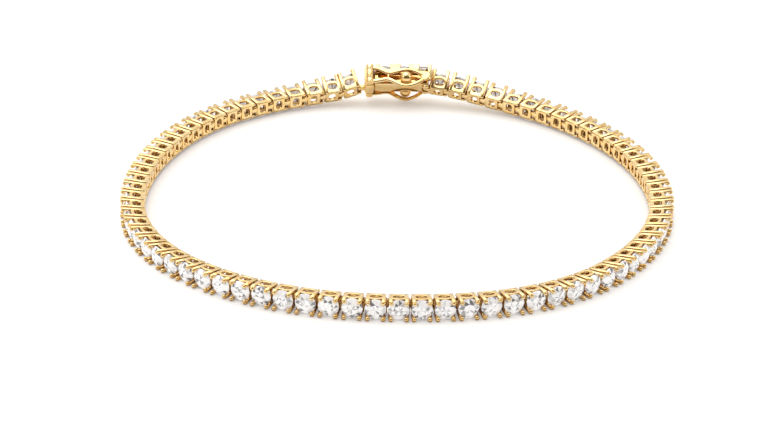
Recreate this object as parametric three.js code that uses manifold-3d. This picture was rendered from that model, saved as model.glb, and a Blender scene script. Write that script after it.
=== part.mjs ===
// A tennis bracelet: one closed row of hinged stone settings, a box clasp and two safety catches.
// Millimetres, +Z up. It lies on its edge with the stones facing out and the clasp at the back (+Y).
// A link's own axes: X outward through the stone, Y along the row (counter-clockwise), Z to its side.
import * as THREE from "three";
import { mergeVertices } from "three/addons/utils/BufferGeometryUtils.js";
import Module from "manifold-3d";

const wasm = await Module();
wasm.setup();

// Row of links
const LINK_COUNT = 75;
const LEFT_COUNT = 38;
const LINK_PITCH = 2.28;
const LINK_GAP = 0.22;
const BODY_SHIFT = 0.24;
const HINGE_INSET = 0.35;
const PRONG_TIP = 2.3;
const PRONG_WIDTH = 0.32;
const WALL = 0.35;
const INNER_HALF_WIDTH = 0.5;
const FLARE = 0.11;
const GALLERY_TOP = 1.15;
const WINDOW_CENTRE = 0.55;
const WINDOW_RADIAL = 0.38;
const WINDOW_ALONG = 0.55;

// Cross bars and hinges of a link
const BAR_DEPTH = 0.5;
const FRONT_BAR = { from: 0.58, to: 0.95 };
const REAR_BAR = { from: -0.55, to: -0.2 };
const LUG_HALF_WIDTH = 0.3;
const LUG_RADIUS = 0.27;
const PIN_RADIUS = 0.12;
const PIN_CLEARANCE = 0.05;
const PIN_SIDES = 6;
const WELD = 0.06;

// Round stones
const STONE_GAP = 0.08;
const STONE_RADIUS = (LINK_PITCH - STONE_GAP) / 2;
const GIRDLE = 1.62;
const CROWN_HEIGHT = 0.36;
const TABLE_RADIUS = 0.6;
const PAVILION_DEPTH = 0.85;
const STONE_SIDES = 8;
const STONE_LEAN = 0.05;

// Clasp, measured from hinge to hinge and from the hinge line outward
const CLASP_LENGTH = 8.1;
const CLASP_TWIST = 38;
const BOX_HALF_HEIGHT = 0.93;
const BOX_DEPTH = 1.9;
const BOX_WALL = 0.28;
const BOX_FROM = -4.15;
const BOX_TO = 2.15;
const SEAM = 0.15;
const END_BLOCK_TO = 3.4;
const END_BLOCK_INNER = -0.3;
const END_BLOCK_DEPTH = 2.4;
const TONGUE_CLEARANCE = 0.12;
const TONGUE_LEAF = 0.26;
const TONGUE_REACH = 4.1;
const CORNER = 0.22;
const EAR_LENGTH = 0.6;
const EAR_OVERHANG = 0.13;
const LUG_CLEARANCE = 0.12;

// Deck of the clasp: three stones between square shared prongs
const DECK_STONES = [1.0, -1.25, -3.5];
const DECK_GIRDLE = BOX_DEPTH + 0.32;
const DECK_STONE_RADIUS = 1.06;
const DECK_PRONG_TOP = BOX_DEPTH + 0.9;
const DECK_PRONG_BOTTOM = BOX_DEPTH - 0.4;
const DECK_PRONG_THICK = 0.36;
const DECK_PRONG_PROUD = 0.1;
const DECK_PRONG_ALONG = 1.3;
const DECK_END_PRONG_ALONG = 0.5;

// Ball studs that the catches snap over
const STUD_RADIUS = 0.7;
const STUD_NECK = 0.34;
const STUD_PLACE = { outward: 0.5, along: -1.49, rise: 1.6 };
const STUD_SIDES = 8;

// Safety catches
const CATCH_HINGE = { along: 2.8, rise: 1.42 };
const CATCH_THICK = 0.4;
const CATCH_STRAND = 0.46;
const CATCH_BALL_GAP = 0.17;
const CATCH_EYE_RADIUS = 0.4;
const CATCH_PIN_RADIUS = 0.15;
const CATCH_PIN_CLEARANCE = 0.08;
const CATCH_EYE_LENGTH = 0.6;
const CATCH_EYE_GAP = 0.1;
const KNUCKLE_FROM = 0.5;
const KNUCKLE_TO = 1.5;
const CATCH_SIDES = 6;
const CATCH_SPREAD = STUD_RADIUS + CATCH_BALL_GAP + CATCH_STRAND / 2;
const KNUCKLE_MIDDLE = (KNUCKLE_FROM + KNUCKLE_TO) / 2;

// The figure eight and its lip, in shares. along: of the way from the hinge to the ball. centre: of the way
// from the knuckle's middle to the ball's. spread: half spread of the strands, of their spread at the ball.
// rise: lift over the hinge, of the ball's radius.
const CATCH_TABLE = [
  { along: 0, centre: 0, spread: 0.85, rise: 0.2 },
  { along: 0.2, centre: 0, spread: 0.79, rise: 0.2 },
  { along: 0.51, centre: 0.28, spread: 0.46, rise: 0.12 },
  { along: 0.77, centre: 0.76, spread: 0.82, rise: 0.3 },
  { along: 1, centre: 1, spread: 1, rise: 0.43 },
  { along: 1.24, centre: 0.88, spread: 0.8, rise: 0.34 },
  { along: 1.43, centre: 0.76, spread: 0.5, rise: 0.2 },
];
const LIP_TABLE = [
  { along: 1.6, spread: 0.46, rise: 0.26 },
  { along: 1.74, spread: 0.5, rise: 0.8 },
  { along: 1.82, spread: 0.43, rise: 1.6 },
];

// Route of the hinge line, counter-clockwise from the clasp's left hinge: x, y, rise of the link's middle
// over its resting height, and its turn about the row that tips the stones up
const ROUTE = [
  [-4.7, 27.6, 1.0, 30],
  [-6.8, 27.2, 0.35, 28],
  [-9.1, 26.6, 0.15, 22],
  [-11.3, 25.8, 0.04, 8],
  [-13.4, 24.8, 0, 2],
  [-19.0, 20.5, 0, 0],
  [-23.1, 14.9, 0, 0],
  [-25.8, 8.6, 0, 0],
  [-27.3, 1.9, 0, 0],
  [-27.6, -4.9, 0, 0],
  [-26.5, -11.6, 0, 0],
  [-23.5, -17.7, 0, 0],
  [-18.8, -22.6, 0, 0],
  [-12.9, -26.1, 0, 0],
  [-6.4, -28.0, 0, 0],
  [0.5, -28.4, 0, 0],
  [7.3, -27.7, 0, 0],
  [13.7, -25.6, 0, 0],
  [19.3, -21.7, 0, 0],
  [23.5, -16.4, 0, 0],
  [26.4, -10.2, 0, 0],
  [27.7, -3.5, 0, 0],
  [27.4, 3.4, 0, 0],
  [25.7, 10.0, 0, 0],
  [22.6, 16.0, 0, 0],
  [18.2, 21.2, 0, 2],
  [13.9, 24.5, 0.05, 6],
  [11.9, 25.6, 0.15, 15],
  [9.8, 26.4, 0.35, 27],
  [7.6, 27.1, 0.6, 31],
  [5.5, 27.6, 0.85, 40],
  [3.4, 27.9, 1.0, 42],
];

const gold = new THREE.MeshStandardMaterial({ color: 0xe8c376, metalness: 1, roughness: 0.22 });
const goldAndStones = new THREE.MeshStandardMaterial({ color: 0xecd49c, metalness: 0.9, roughness: 0.2 });

const sum = (solids) => solids.reduce((whole, solid) => whole.add(solid));
const lerp = THREE.MathUtils.lerp;

// A closed geometry becomes a solid once its corners are shared.
function solidOf(geometry) {
  const bare = geometry.index ? geometry.toNonIndexed() : geometry.clone();
  bare.deleteAttribute("normal");
  bare.deleteAttribute("uv");
  const merged = mergeVertices(bare, 1e-5);
  return new wasm.Manifold(new wasm.Mesh({
    numProp: 3,
    vertProperties: new Float32Array(merged.attributes.position.array),
    triVerts: new Uint32Array(merged.index.array),
  }));
}

function geometryOf(solid) {
  const mesh = solid.getMesh();
  const geometry = new THREE.BufferGeometry();
  geometry.setAttribute("position", new THREE.BufferAttribute(Float32Array.from(mesh.vertProperties), 3));
  geometry.setIndex(new THREE.BufferAttribute(Uint32Array.from(mesh.triVerts), 1));
  return geometry;
}

function moved(solid, matrix) {
  return solidOf(geometryOf(solid).applyMatrix4(matrix));
}

// The same shape on the other side of the plane Z = 0.
function otherSide(solid) {
  const geometry = geometryOf(solid).scale(1, 1, -1);
  const index = geometry.index.array;
  for (let i = 0; i < index.length; i += 3) {
    [index[i + 1], index[i + 2]] = [index[i + 2], index[i + 1]];
  }
  return solidOf(geometry);
}

function namedMesh(name, solid, material) {
  const geometry = geometryOf(solid).toNonIndexed();
  geometry.computeVertexNormals();
  const mesh = new THREE.Mesh(geometry, material);
  mesh.name = name;
  return mesh;
}

// A prism between two heights on Z over an outline in X and Y, with holes.
function prismGeometry(outline, low, high, holes = []) {
  const shape = new THREE.Shape(outline.map(([x, y]) => new THREE.Vector2(x, y)));
  shape.holes = holes.map((hole) => new THREE.Path(hole.map(([x, y]) => new THREE.Vector2(x, y))));
  return new THREE.ExtrudeGeometry(shape, { depth: high - low, bevelEnabled: false }).translate(0, 0, low);
}

const prism = (outline, low, high, holes) => solidOf(prismGeometry(outline, low, high, holes));

// A box between two corners.
function block([x0, y0, z0], [x1, y1, z1]) {
  return prism([[x0, y0], [x1, y0], [x1, y1], [x0, y1]], z0, z1);
}

function ellipse(x, y, radiusX, radiusY, sides, start = 0) {
  return Array.from({ length: sides }, (_, i) => {
    const angle = start + (i * 2 * Math.PI) / sides;
    return [x + radiusX * Math.cos(angle), y + radiusY * Math.sin(angle)];
  });
}

// A prism drawn in Y and Z and drawn out along X.
function outwardPrism(outline, low, high, holes = []) {
  const geometry = prismGeometry(outline, low, high, holes);
  const turn = new THREE.Matrix4().makeBasis(
    new THREE.Vector3(0, 1, 0), new THREE.Vector3(0, 0, 1), new THREE.Vector3(1, 0, 0));
  return solidOf(geometry.applyMatrix4(turn));
}

// Round stone: table, eight crown facets and eight pavilion facets, on the X axis.
function stone(radius, girdle, along) {
  const scale = radius / STONE_RADIUS;
  const profile = [
    new THREE.Vector2(0, girdle - PAVILION_DEPTH * scale),
    new THREE.Vector2(radius, girdle),
    new THREE.Vector2(TABLE_RADIUS * scale, girdle + CROWN_HEIGHT * scale),
    new THREE.Vector2(0, girdle + CROWN_HEIGHT * scale),
  ];
  const geometry = new THREE.LatheGeometry(profile, STONE_SIDES, Math.PI / STONE_SIDES);
  return solidOf(geometry.rotateZ(-Math.PI / 2).translate(0, along, 0));
}

const BODY_HALF_LENGTH = (LINK_PITCH - LINK_GAP) / 2;
const innerFace = -HINGE_INSET;
const faceAt = (outward) => INNER_HALF_WIDTH + FLARE * (outward - innerFace);

// A side wall with its two prongs, which leans out towards the stone. The upper one is pierced.
function sideWall({ pierced }) {
  const half = BODY_HALF_LENGTH;
  const outline = [
    [innerFace, -half], [PRONG_TIP, -half], [PRONG_TIP, PRONG_WIDTH - half],
    [GALLERY_TOP, PRONG_WIDTH - half], [GALLERY_TOP, half - PRONG_WIDTH],
    [PRONG_TIP, half - PRONG_WIDTH], [PRONG_TIP, half], [innerFace, half],
  ];
  const window = ellipse(WINDOW_CENTRE, 0, WINDOW_RADIAL, WINDOW_ALONG, 4);
  const geometry = prismGeometry(outline, 0, WALL, pierced ? [window] : []);
  const places = geometry.attributes.position;
  for (let i = 0; i < places.count; i++) {
    places.setZ(i, places.getZ(i) + faceAt(places.getX(i)));
  }
  return solidOf(geometry);
}

// A three-sided bar from wall to wall, flat towards the wrist.
function crossBar({ from, to }) {
  const outline = [[innerFace, from], [innerFace + BAR_DEPTH, (from + to) / 2], [innerFace, to]];
  const reach = INNER_HALF_WIDTH + WALL / 2;
  return prism(outline, -reach, reach);
}

// The lug runs from the front bar to the next link: welded to its rear bar, or round an open pin.
const LUG_ROOT = (FRONT_BAR.from + FRONT_BAR.to) / 2;
const LUG_LOW = -LUG_RADIUS;
const LUG_HIGH = 0;

function weldedLug() {
  const reach = LINK_PITCH + (REAR_BAR.from + REAR_BAR.to) / 2;
  return block([LUG_LOW, LUG_ROOT, -LUG_HALF_WIDTH], [LUG_HIGH, reach, LUG_HALF_WIDTH]);
}

function openLug(root, hinge) {
  const eye = ellipse(0, hinge, LUG_RADIUS, LUG_RADIUS, 8, Math.PI / 8);
  const hole = ellipse(0, hinge, PIN_RADIUS + PIN_CLEARANCE, PIN_RADIUS + PIN_CLEARANCE, 8, Math.PI / 8);
  const arm = block(
    [LUG_LOW * 0.8, root, -LUG_HALF_WIDTH],
    [LUG_HIGH + 0.2, hinge - LUG_RADIUS * 0.75, LUG_HALF_WIDTH]);
  return arm.add(prism(eye, -LUG_HALF_WIDTH, LUG_HALF_WIDTH, [hole]));
}

function hingePin(hinge, reach) {
  return prism(ellipse(0, hinge, PIN_RADIUS, PIN_RADIUS, PIN_SIDES), -reach, reach);
}

// A link about its body's centre. Its pin lies behind the centre and its lug's eye a pitch ahead of it.
const PIN_PLACE = BODY_SHIFT - LINK_PITCH / 2;
const EYE_PLACE = BODY_SHIFT + LINK_PITCH / 2;

function link({ openEye = false, openPin = false } = {}) {
  const parts = [
    sideWall({ pierced: true }), otherSide(sideWall({ pierced: false })),
    crossBar(FRONT_BAR), crossBar(REAR_BAR),
    openEye ? openLug(LUG_ROOT, EYE_PLACE) : weldedLug(),
    stone(STONE_RADIUS, GIRDLE, STONE_LEAN),
  ];
  if (openPin) {
    parts.push(hingePin(PIN_PLACE, INNER_HALF_WIDTH + WALL / 2));
  }
  return sum(parts);
}

// Walks the route in steps of one pitch. The route is scaled in plan until the row and the clasp close it.
const REST = faceAt(PRONG_TIP) + WALL;

function hingePlaces(scale) {
  const points = ROUTE.map(([x, y, rise]) => new THREE.Vector3(x * scale, y * scale, REST + rise));
  const curve = new THREE.CatmullRomCurve3(points, true, "centripetal");
  curve.arcLengthDivisions = 1200;
  const step = LINK_PITCH / curve.getLength();
  const hinges = [{ place: curve.getPointAt(0), at: 0 }];
  while (hinges.length <= LINK_COUNT) {
    const last = hinges[hinges.length - 1];
    let near = last.at + 0.5 * step;
    let far = last.at + 1.5 * step;
    for (let i = 0; i < 30; i++) {
      const middle = (near + far) / 2;
      if (curve.getPointAt(Math.min(middle, 1)).distanceTo(last.place) < LINK_PITCH) {
        near = middle;
      } else {
        far = middle;
      }
    }
    const at = Math.min(near, 1);
    hinges.push({ place: curve.getPointAt(at), at });
  }
  return { hinges, curve };
}

function closedRow() {
  const reach = (scale) => {
    const { hinges } = hingePlaces(scale);
    return hinges[0].place.distanceTo(hinges[LINK_COUNT].place);
  };
  let small = 0.97 * (LINK_COUNT * LINK_PITCH + CLASP_LENGTH) / 179.1;
  let large = small * 1.06;
  for (let i = 0; i < 22; i++) {
    const middle = (small + large) / 2;
    if (reach(middle) < CLASP_LENGTH) {
      small = middle;
    } else {
      large = middle;
    }
  }
  return hingePlaces((small + large) / 2);
}

const { hinges, curve } = closedRow();

function twistAt(at) {
  const row = curve.getUtoTmapping(at) * ROUTE.length;
  const before = Math.floor(row) % ROUTE.length;
  const after = (before + 1) % ROUTE.length;
  return lerp(ROUTE[before][3], ROUTE[after][3], row - Math.floor(row));
}

// Frame of a link or the clasp between two hinges, turned about the row by its twist.
function frameBetween(start, end, twist) {
  const along = end.clone().sub(start).normalize();
  const level = new THREE.Vector3().crossVectors(along, new THREE.Vector3(0, 0, 1)).normalize();
  const side = new THREE.Vector3().crossVectors(level, along);
  const angle = THREE.MathUtils.degToRad(twist);
  const outward = level.clone().multiplyScalar(Math.cos(angle)).addScaledVector(side, Math.sin(angle));
  side.multiplyScalar(Math.cos(angle)).addScaledVector(level, -Math.sin(angle));
  const middle = start.clone().add(end).multiplyScalar(0.5);
  return new THREE.Matrix4().makeBasis(outward, along, side).setPosition(middle);
}

const plainLink = link();
const lastOfLeft = link({ openEye: true });
const firstOfHalf = link({ openPin: true });

function chainHalf(from, to) {
  const placed = [];
  for (let i = from; i < to; i++) {
    const shape = i === from ? firstOfHalf : i === to - 1 ? lastOfLeft : plainLink;
    const twist = twistAt((hinges[i].at + hinges[i + 1].at) / 2);
    const frame = frameBetween(hinges[i].place, hinges[i + 1].place, twist);
    frame.multiply(new THREE.Matrix4().makeTranslation(0, -BODY_SHIFT, 0));
    placed.push(moved(shape, frame));
  }
  return sum(placed);
}

// Clasp, about the middle of its hinges
const claspHalf = CLASP_LENGTH / 2;
const boxHalf = BOX_HALF_HEIGHT;

// A bar along Y with its four long edges cut, drawn in X and Z.
function chamferedBar([x0, x1], [y0, y1], half) {
  const outline = [
    [x0 + CORNER, -half], [x1 - CORNER, -half], [x1, CORNER - half], [x1, half - CORNER],
    [x1 - CORNER, half], [x0 + CORNER, half], [x0, half - CORNER], [x0, CORNER - half],
  ];
  const geometry = prismGeometry(outline, -y1, -y0);
  return solidOf(geometry.rotateX(Math.PI / 2));
}

function deckProngs() {
  const middles = DECK_STONES.slice(1).map((place, i) => (place + DECK_STONES[i]) / 2);
  const first = DECK_STONES[0] + DECK_STONE_RADIUS;
  const last = DECK_STONES[DECK_STONES.length - 1] - DECK_STONE_RADIUS;
  const places = [
    { at: first - DECK_END_PRONG_ALONG / 2, along: DECK_END_PRONG_ALONG },
    ...middles.map((at) => ({ at, along: DECK_PRONG_ALONG })),
    { at: last + DECK_END_PRONG_ALONG / 2, along: DECK_END_PRONG_ALONG },
  ];
  const outer = boxHalf + DECK_PRONG_PROUD;
  const prongs = places.map(({ at, along }) => {
    const inner = outer - DECK_PRONG_THICK;
    return block([DECK_PRONG_BOTTOM, at - along / 2, inner], [DECK_PRONG_TOP, at + along / 2, outer]);
  });
  return [...prongs, ...prongs.map(otherSide)];
}

function stud() {
  const neckTop = STUD_PLACE.rise - Math.sqrt(STUD_RADIUS ** 2 - STUD_NECK ** 2);
  const low = Math.asin(STUD_NECK / STUD_RADIUS);
  const profile = [new THREE.Vector2(0, boxHalf - WELD), new THREE.Vector2(STUD_NECK, boxHalf - WELD)];
  profile.push(new THREE.Vector2(STUD_NECK, neckTop));
  for (let i = 1; i <= 3; i++) {
    const angle = lerp(low, Math.PI, i / 4);
    profile.push(new THREE.Vector2(
      STUD_RADIUS * Math.sin(angle), STUD_PLACE.rise - STUD_RADIUS * Math.cos(angle)));
  }
  profile.push(new THREE.Vector2(0, STUD_PLACE.rise + STUD_RADIUS));
  const geometry = new THREE.LatheGeometry(profile, STUD_SIDES).rotateX(Math.PI / 2);
  return solidOf(geometry.translate(STUD_PLACE.outward, STUD_PLACE.along, 0));
}

function claspBox() {
  const cavity = block(
    [BOX_WALL, BOX_TO - TONGUE_REACH - SEAM, BOX_WALL - boxHalf],
    [BOX_DEPTH - BOX_WALL, BOX_TO + 1, boxHalf - BOX_WALL]);
  const earInner = LUG_HALF_WIDTH + LUG_CLEARANCE;
  const earOuter = boxHalf - 0.08;
  const lugRoom = block(
    [-HINGE_INSET, BOX_FROM - 1, -earInner],
    [LUG_RADIUS + LUG_CLEARANCE, LUG_RADIUS + LUG_CLEARANCE - claspHalf, earInner]);
  const body = chamferedBar([0, BOX_DEPTH], [BOX_FROM, BOX_TO], boxHalf).subtract(cavity).subtract(lugRoom);
  const ear = block(
    [-HINGE_INSET, -claspHalf - EAR_OVERHANG, earInner],
    [LUG_RADIUS, EAR_LENGTH - claspHalf, earOuter]);
  const pin = hingePin(-claspHalf, (earInner + earOuter) / 2);
  const upperStud = stud();
  const stones = DECK_STONES.map((along) => stone(DECK_STONE_RADIUS, DECK_GIRDLE, along));
  return sum([body, ear, otherSide(ear), pin, upperStud, otherSide(upperStud), ...deckProngs(), ...stones]);
}

// Knuckle and pin of a catch, along X, on the upper side of the tongue's end block.
const EYE_INNER_FACE = KNUCKLE_FROM - CATCH_EYE_GAP;
const EYE_OUTER_FACE = KNUCKLE_TO + CATCH_EYE_GAP;

function knuckle() {
  const { along, rise } = CATCH_HINGE;
  const start = Math.PI / CATCH_SIDES;
  const barrel = ellipse(along, rise, CATCH_EYE_RADIUS, CATCH_EYE_RADIUS, CATCH_SIDES, start);
  const pin = ellipse(along, rise, CATCH_PIN_RADIUS, CATCH_PIN_RADIUS, PIN_SIDES);
  const pinFrom = EYE_INNER_FACE - CATCH_EYE_LENGTH - WELD;
  const pinTo = EYE_OUTER_FACE + CATCH_EYE_LENGTH + WELD;
  const foot = block(
    [KNUCKLE_FROM, along - CATCH_EYE_RADIUS * 0.7, boxHalf - WELD],
    [KNUCKLE_TO, along + CATCH_EYE_RADIUS * 0.7, rise]);
  return sum([outwardPrism(barrel, KNUCKLE_FROM, KNUCKLE_TO), outwardPrism(pin, pinFrom, pinTo), foot]);
}

function claspTongue() {
  const end = chamferedBar([END_BLOCK_INNER, END_BLOCK_DEPTH], [BOX_TO + SEAM, END_BLOCK_TO], boxHalf);
  const lug = openLug(END_BLOCK_TO - WELD, claspHalf);
  const half = boxHalf - BOX_WALL - TONGUE_CLEARANCE;
  const tip = BOX_TO + SEAM - TONGUE_REACH + TONGUE_CLEARANCE;
  const root = BOX_TO + SEAM + WELD;
  const fold = TONGUE_LEAF;
  const outline = [
    [root, -half], [root, TONGUE_LEAF - half], [tip + fold, TONGUE_LEAF - half - 0.02],
    [tip + fold, 0], [root - 0.6, half - TONGUE_LEAF], [root - 0.6, half],
    [tip + fold / 2, fold], [tip, 0], [tip, fold / 2 - half], [tip + fold / 2, -half],
  ];
  const leaf = outwardPrism(outline, BOX_WALL + TONGUE_CLEARANCE, BOX_DEPTH - BOX_WALL - TONGUE_CLEARANCE);
  const upper = knuckle();
  return sum([end, lug, leaf, upper, otherSide(upper)]);
}

// The rows of both tables in millimetres.
function catchRows(table) {
  return table.map(({ along, centre = CATCH_TABLE[CATCH_TABLE.length - 1].centre, spread, rise }) => ({
    along: lerp(CATCH_HINGE.along, STUD_PLACE.along, along),
    centre: lerp(KNUCKLE_MIDDLE, STUD_PLACE.outward, centre),
    spread: spread * CATCH_SPREAD,
    rise: CATCH_HINGE.rise + rise * STUD_RADIUS,
  }));
}

// The figure eight is cut flat and then bent to the rise that its rows give along the clasp.
function riseAt(rows, along) {
  for (let i = 1; i < rows.length; i++) {
    if (along >= rows[i].along) {
      const share = (along - rows[i - 1].along) / (rows[i].along - rows[i - 1].along);
      return lerp(rows[i - 1].rise, rows[i].rise, Math.max(share, 0));
    }
  }
  return rows[rows.length - 1].rise;
}

function safetyCatch() {
  const strand = CATCH_STRAND / 2;
  const eight = catchRows(CATCH_TABLE);
  const lip = catchRows(LIP_TABLE);
  const edge = (rows, side, offset) => rows.map(({ along, centre, spread }) => (
    [centre + side * (spread + offset), along]));
  const outline = [
    ...edge(eight, -1, strand), ...edge(lip, -1, 0),
    ...edge(lip, 1, 0).reverse(), ...edge(eight, 1, strand).reverse(),
  ];
  const waist = eight[2];
  const end = eight[eight.length - 1];
  const hingeRows = [{ ...eight[0], along: CATCH_HINGE.along - CATCH_EYE_RADIUS - WELD }, eight[1]];
  const ballRows = eight.slice(3, -1);
  const hingeOpening = [
    ...edge(hingeRows, -1, -strand), [waist.centre, waist.along + CATCH_STRAND],
    ...edge(hingeRows, 1, -strand).reverse(),
  ];
  const ballOpening = [
    [waist.centre, waist.along - CATCH_STRAND], ...edge(ballRows, -1, -strand),
    [end.centre, end.along + strand], ...edge(ballRows, 1, -strand).reverse(),
  ];
  const geometry = prismGeometry(outline, -CATCH_THICK / 2, CATCH_THICK / 2, [hingeOpening, ballOpening]);
  const places = geometry.attributes.position;
  for (let i = 0; i < places.count; i++) {
    places.setZ(i, places.getZ(i) + riseAt([...eight, ...lip], places.getY(i)));
  }
  const room = CATCH_EYE_GAP + CATCH_EYE_RADIUS;
  const slot = block(
    [EYE_INNER_FACE, CATCH_HINGE.along - room, 0], [EYE_OUTER_FACE, CATCH_HINGE.along + 1, 3]);
  const { along, rise } = CATCH_HINGE;
  const round = (radius) => ellipse(along, rise, radius, radius, CATCH_SIDES, Math.PI / CATCH_SIDES);
  const bore = round(CATCH_PIN_RADIUS + CATCH_PIN_CLEARANCE);
  const barrel = round(CATCH_EYE_RADIUS);
  const from = EYE_INNER_FACE - CATCH_EYE_LENGTH;
  const to = EYE_OUTER_FACE + CATCH_EYE_LENGTH;
  return solidOf(geometry)
    .subtract(slot)
    .add(outwardPrism(barrel, from, EYE_INNER_FACE))
    .add(outwardPrism(barrel, EYE_OUTER_FACE, to))
    .subtract(outwardPrism(bore, from - 1, to + 1));
}

const claspFrame = frameBetween(hinges[LINK_COUNT].place, hinges[0].place, CLASP_TWIST);
const catchSolid = safetyCatch();

const bracelet = new THREE.Group();
bracelet.add(namedMesh("chain_left", chainHalf(0, LEFT_COUNT), goldAndStones));
bracelet.add(namedMesh("chain_right", chainHalf(LEFT_COUNT, LINK_COUNT), goldAndStones));

const clasp = new THREE.Group();
clasp.applyMatrix4(claspFrame);
clasp.add(namedMesh("clasp_box", claspBox(), goldAndStones));
clasp.add(namedMesh("clasp_tongue", claspTongue(), gold));
clasp.add(namedMesh("upper_catch", catchSolid, gold));
clasp.add(namedMesh("lower_catch", otherSide(catchSolid), gold));
bracelet.add(clasp);

export default bracelet;
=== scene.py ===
"""A tennis bracelet: a row of hinged box settings with round stones, a box clasp and two safety catches."""

import math

import bmesh
import bpy
from mathutils import Matrix, Vector


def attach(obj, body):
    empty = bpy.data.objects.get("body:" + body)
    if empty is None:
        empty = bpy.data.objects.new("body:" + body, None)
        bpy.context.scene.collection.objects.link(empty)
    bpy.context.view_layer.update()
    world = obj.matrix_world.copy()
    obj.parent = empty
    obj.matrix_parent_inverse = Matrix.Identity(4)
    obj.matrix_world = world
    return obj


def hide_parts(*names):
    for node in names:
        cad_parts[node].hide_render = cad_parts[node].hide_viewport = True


bl_info = {
    "name": "Tennis bracelet",
    "version": (1, 0, 0),
    "blender": (4, 5, 0),
    "location": "3D View > Sidebar > Bracelet",
    "description": "Row of box settings, clasp and safety catches of a tennis bracelet",
    "category": "Add Mesh",
}

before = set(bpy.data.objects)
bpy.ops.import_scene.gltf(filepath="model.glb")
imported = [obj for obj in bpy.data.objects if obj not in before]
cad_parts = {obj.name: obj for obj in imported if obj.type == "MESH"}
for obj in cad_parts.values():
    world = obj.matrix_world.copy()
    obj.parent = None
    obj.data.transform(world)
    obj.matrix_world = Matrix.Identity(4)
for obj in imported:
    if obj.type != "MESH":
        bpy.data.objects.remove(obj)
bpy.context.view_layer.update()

MM = 0.001

# Number of links, and the first and the end of each half of the row
LINK_COUNT = 75
LEFT_COUNT = 38
HALVES = [("left", 0, LEFT_COUNT), ("right", LEFT_COUNT, LINK_COUNT)]

# Route of the hinge line in millimetres, counter-clockwise from the clasp's left hinge: x, y, rise of the
# link's middle over its resting height, and its turn about the row in degrees
ROUTE = [
    (-4.7, 27.6, 1.0, 30),
    (-6.8, 27.2, 0.35, 28),
    (-9.1, 26.6, 0.15, 22),
    (-11.3, 25.8, 0.04, 8),
    (-13.4, 24.8, 0, 2),
    (-19.0, 20.5, 0, 0),
    (-23.1, 14.9, 0, 0),
    (-25.8, 8.6, 0, 0),
    (-27.3, 1.9, 0, 0),
    (-27.6, -4.9, 0, 0),
    (-26.5, -11.6, 0, 0),
    (-23.5, -17.7, 0, 0),
    (-18.8, -22.6, 0, 0),
    (-12.9, -26.1, 0, 0),
    (-6.4, -28.0, 0, 0),
    (0.5, -28.4, 0, 0),
    (7.3, -27.7, 0, 0),
    (13.7, -25.6, 0, 0),
    (19.3, -21.7, 0, 0),
    (23.5, -16.4, 0, 0),
    (26.4, -10.2, 0, 0),
    (27.7, -3.5, 0, 0),
    (27.4, 3.4, 0, 0),
    (25.7, 10.0, 0, 0),
    (22.6, 16.0, 0, 0),
    (18.2, 21.2, 0, 2),
    (13.9, 24.5, 0.05, 6),
    (11.9, 25.6, 0.15, 15),
    (9.8, 26.4, 0.35, 27),
    (7.6, 27.1, 0.6, 31),
    (5.5, 27.6, 0.85, 40),
    (3.4, 27.9, 1.0, 42),
]
ROUTE_STEPS = 1200

# Length of the route as it is given, and the range in which the scale that closes the row is sought
ROUTE_LENGTH = 179.1
LEAST_SCALE = 0.97
SCALE_RANGE = 1.06
SCALE_HALVINGS = 22
STEP_HALVINGS = 26

# Turn of the clasp about the row in degrees, and how far a setting lies back from the middle of its hinges
CLASP_TWIST = 38
BODY_SHIFT = 0.24

# Places along the clasp, in millimetres from its middle towards the tongue
DECK_STONES = (1.0, -1.25, -3.5)
DECK_PRONGS = (-0.25, -2.5)
BOX_REAR = -4.2
BOX_MOUTH = 2.25
LAST_PIN = -4.05
STUD_PLACE = -1.49
CATCH_HINGE = 2.8

# Distances of the studs and the catches' hinges from the middle of the clasp, in millimetres
STUD_OUTWARD = 0.5
STUD_REACH = 1.6
HINGE_REACH = 1.42

# Bands of a safety catch from its hinge to its lip: place along the clasp, middle of the band outward, half
# its width, and its rise over the clasp's middle
FAR_BAND = [
    (2.8, 1.93, 0.26, 1.5),
    (1.94, 1.84, 0.28, 1.56),
    (0.61, 1.36, 0.38, 1.52),
    (-0.5, 1.46, 0.27, 1.63),
    (-1.49, 1.58, 0.2, 1.72),
    (-2.52, 1.42, 0.22, 1.66),
    (-3.5, 0.98, 0.3, 1.56),
]
NEAR_BAND = [
    (2.8, 0.07, 0.24, 1.5),
    (1.94, 0.13, 0.24, 1.56),
    (0.61, 0.36, 0.26, 1.52),
    (-0.5, -0.26, 0.24, 1.63),
    (-1.49, -0.6, 0.22, 1.72),
    (-2.52, -0.32, 0.24, 1.66),
    (-3.5, 0.3, 0.3, 1.56),
]
LIP = [
    (-3.3, 0.64, 0.5, 1.55),
    (-3.8, 0.7, 0.5, 1.6),
    (-4.2, 0.78, 0.5, 1.74),
    (-4.5, 0.86, 0.48, 2.0),
    (-4.7, 0.9, 0.44, 2.3),
    (-4.76, 0.92, 0.36, 2.54),
]


def length(name, description, default, precision=5):
    """A size in metres, given here in millimetres."""
    return bpy.props.FloatProperty(
        name=name, description=description, default=default * MM, min=0, unit="LENGTH", precision=precision)


def colour(name, description, default):
    return bpy.props.FloatVectorProperty(
        name=name, description=description, default=default, size=4, min=0, max=1, subtype="COLOR")


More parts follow.
